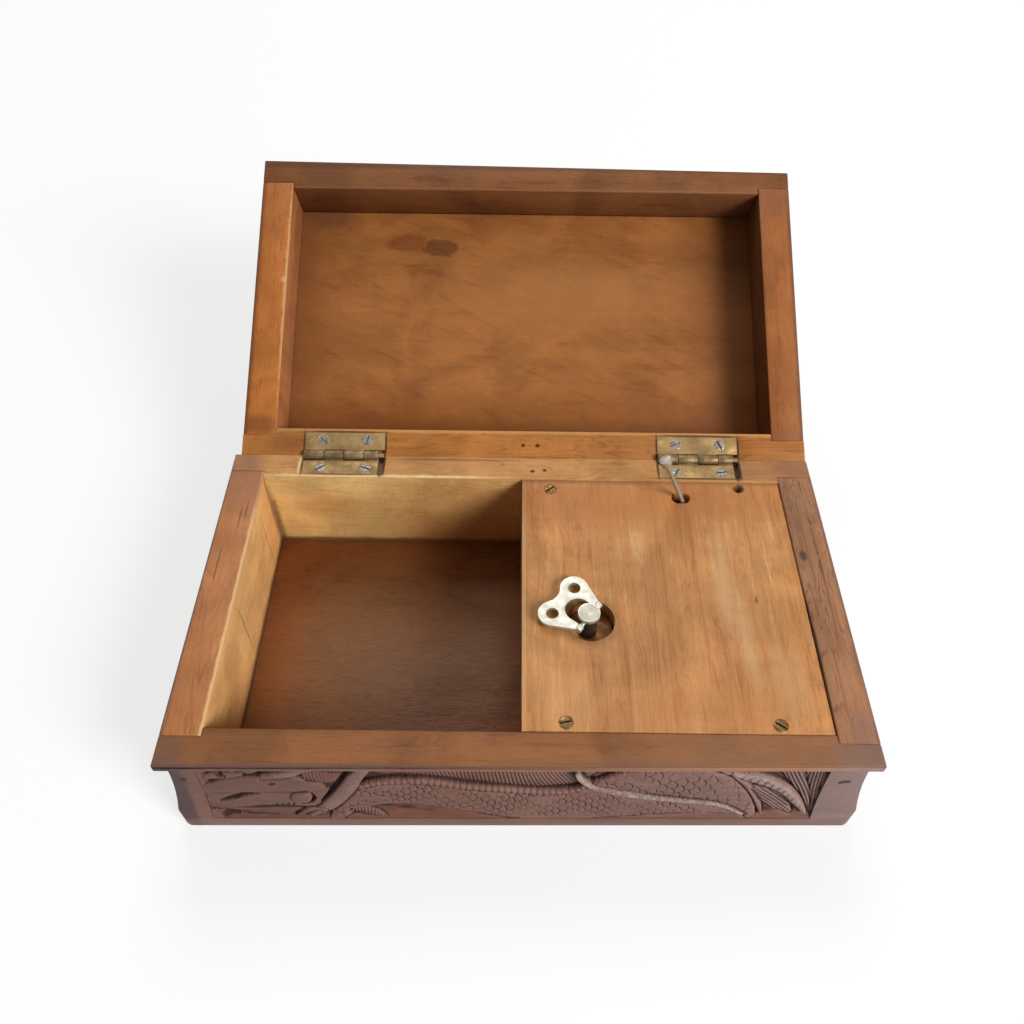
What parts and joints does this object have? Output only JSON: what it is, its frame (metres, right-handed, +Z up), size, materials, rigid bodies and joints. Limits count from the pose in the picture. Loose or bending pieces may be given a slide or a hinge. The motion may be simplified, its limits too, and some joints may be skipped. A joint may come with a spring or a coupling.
{
  "type": "wind up music box",
  "caption": "Hinged wooden box with an open trinket compartment and a spring driven comb movement under a cover panel, wound by a folding key and stopped by the lid.",
  "frame": {"origin": "middle of the case's underside", "axes": "+X to the right seen from the front, +Y to the hinged back, +Z up"},
  "size_m": [0.184, 0.2078, 0.0837],
  "materials": {
    "case_wood": "old waxed wood, darker outside",
    "lid_wood": "old waxed wood",
    "panel_wood": "light planed wood",
    "floor_wood": "plain dark wood",
    "hinge_brass": "aged",
    "screw_steel": "dull",
    "screw_brass": "aged",
    "nickel": "bright plate",
    "movement_brass": "clean",
    "movement_steel": "clean"
  },
  "bodies": {
    "case": {"front_board": "case_wood", "back_board": "case_wood", "left_board": "case_wood", "right_board": "case_wood", "bottom_board": "floor_wood", "partition": "floor_wood", "cover_panel": "panel_wood", "panel_cleats": "floor_wood", "panel_screws": "screw_brass", "hinge_screws_base": "screw_steel", "hinge_base_leaf_left": "hinge_brass", "hinge_base_leaf_right": "hinge_brass", "hinge_pins": "hinge_brass", "bedplate": "movement_brass", "bedplate_screws": "movement_steel", "barrel_bridge": "movement_brass", "barrel_pillars": "movement_brass", "bridge_screws": "movement_steel", "clutch_bush": "movement_brass", "cylinder_bridge": "movement_brass", "comb": "movement_steel", "comb_seat": "movement_brass", "comb_screws": "movement_steel", "governor_frame_far": "movement_brass", "governor_frame_near": "movement_brass", "stop_bracket": "movement_steel", "stop_bracket_screw": "movement_steel", "stop_spring": "movement_steel"},
    "lid": {"lid_front_rail": "lid_wood", "lid_back_rail": "lid_wood", "lid_left_rail": "lid_wood", "lid_right_rail": "lid_wood", "lid_top_board": "lid_wood", "hinge_screws_lid": "screw_steel", "hinge_lid_leaf_left": "hinge_brass", "hinge_lid_leaf_right": "hinge_brass"},
    "winder": {"winding_arbor": "nickel", "key_pin": "nickel"},
    "key": {"key_plate": "nickel"},
    "barrel": {"barrel_drum": "movement_brass", "barrel_wheel": "movement_brass", "mainspring": "movement_steel"},
    "cylinder": {"cylinder_drum": "movement_brass", "cylinder_pins": "movement_steel", "cylinder_arbor": "movement_steel", "cylinder_pinion": "movement_brass", "cylinder_wheel": "movement_brass"},
    "governor": {"governor_arbor": "movement_steel", "governor_pinion": "movement_brass", "worm_wheel": "movement_brass"},
    "fly": {"worm_shaft": "movement_steel", "fan": "movement_steel"},
    "stop_lever": {"stop_rod": "nickel", "stop_rocker": "movement_steel"}
  },
  "joints": [
    {"name": "lid_hinge", "type": "hinge", "parent": "case", "child": "lid", "pos_m": [0, 0.05115, 0.0361], "axis": [1, 0, 0], "range_deg": [0, 153]},
    {"name": "winding_turn", "type": "hinge", "parent": "case", "child": "winder", "pos_m": [0.0187, -0.0099, 0.036], "axis": [0, 0, 1], "continuous": true},
    {"name": "key_fold", "type": "hinge", "parent": "winder", "child": "key", "pos_m": [0.0187, -0.0099, 0.0378], "axis": [0.5948, 0.8039, 0], "range_deg": [0, 90]},
    {"name": "barrel_turn", "type": "hinge", "parent": "case", "child": "barrel", "pos_m": [0.0187, -0.0099, 0.01], "axis": [0, 0, 1], "continuous": true},
    {"name": "cylinder_turn", "type": "hinge", "parent": "case", "child": "cylinder", "pos_m": [0.045, -0.0099, 0.021], "axis": [1, 0, 0], "continuous": true},
    {"name": "governor_turn", "type": "hinge", "parent": "case", "child": "governor", "pos_m": [0.0605, 0.00143, 0.021], "axis": [1, 0, 0], "continuous": true},
    {"name": "fly_turn", "type": "hinge", "parent": "case", "child": "fly", "pos_m": [0.0605, 0.00696, 0.02], "axis": [0, 0, 1], "continuous": true},
    {"name": "stop_tilt", "type": "hinge", "parent": "case", "child": "stop_lever", "pos_m": [0.05175, 0.03515, 0.03], "axis": [0, -1, 0], "range_deg": [0, 13.01]}
  ],
  "couplings": [
    {"joint": "cylinder_turn", "follows": "barrel_turn", "ratio": 2},
    {"joint": "governor_turn", "follows": "barrel_turn", "ratio": -8},
    {"joint": "fly_turn", "follows": "barrel_turn", "ratio": 128},
    {"joint": "stop_tilt", "follows": "lid_hinge", "ratio": 0.084967}
  ]
}
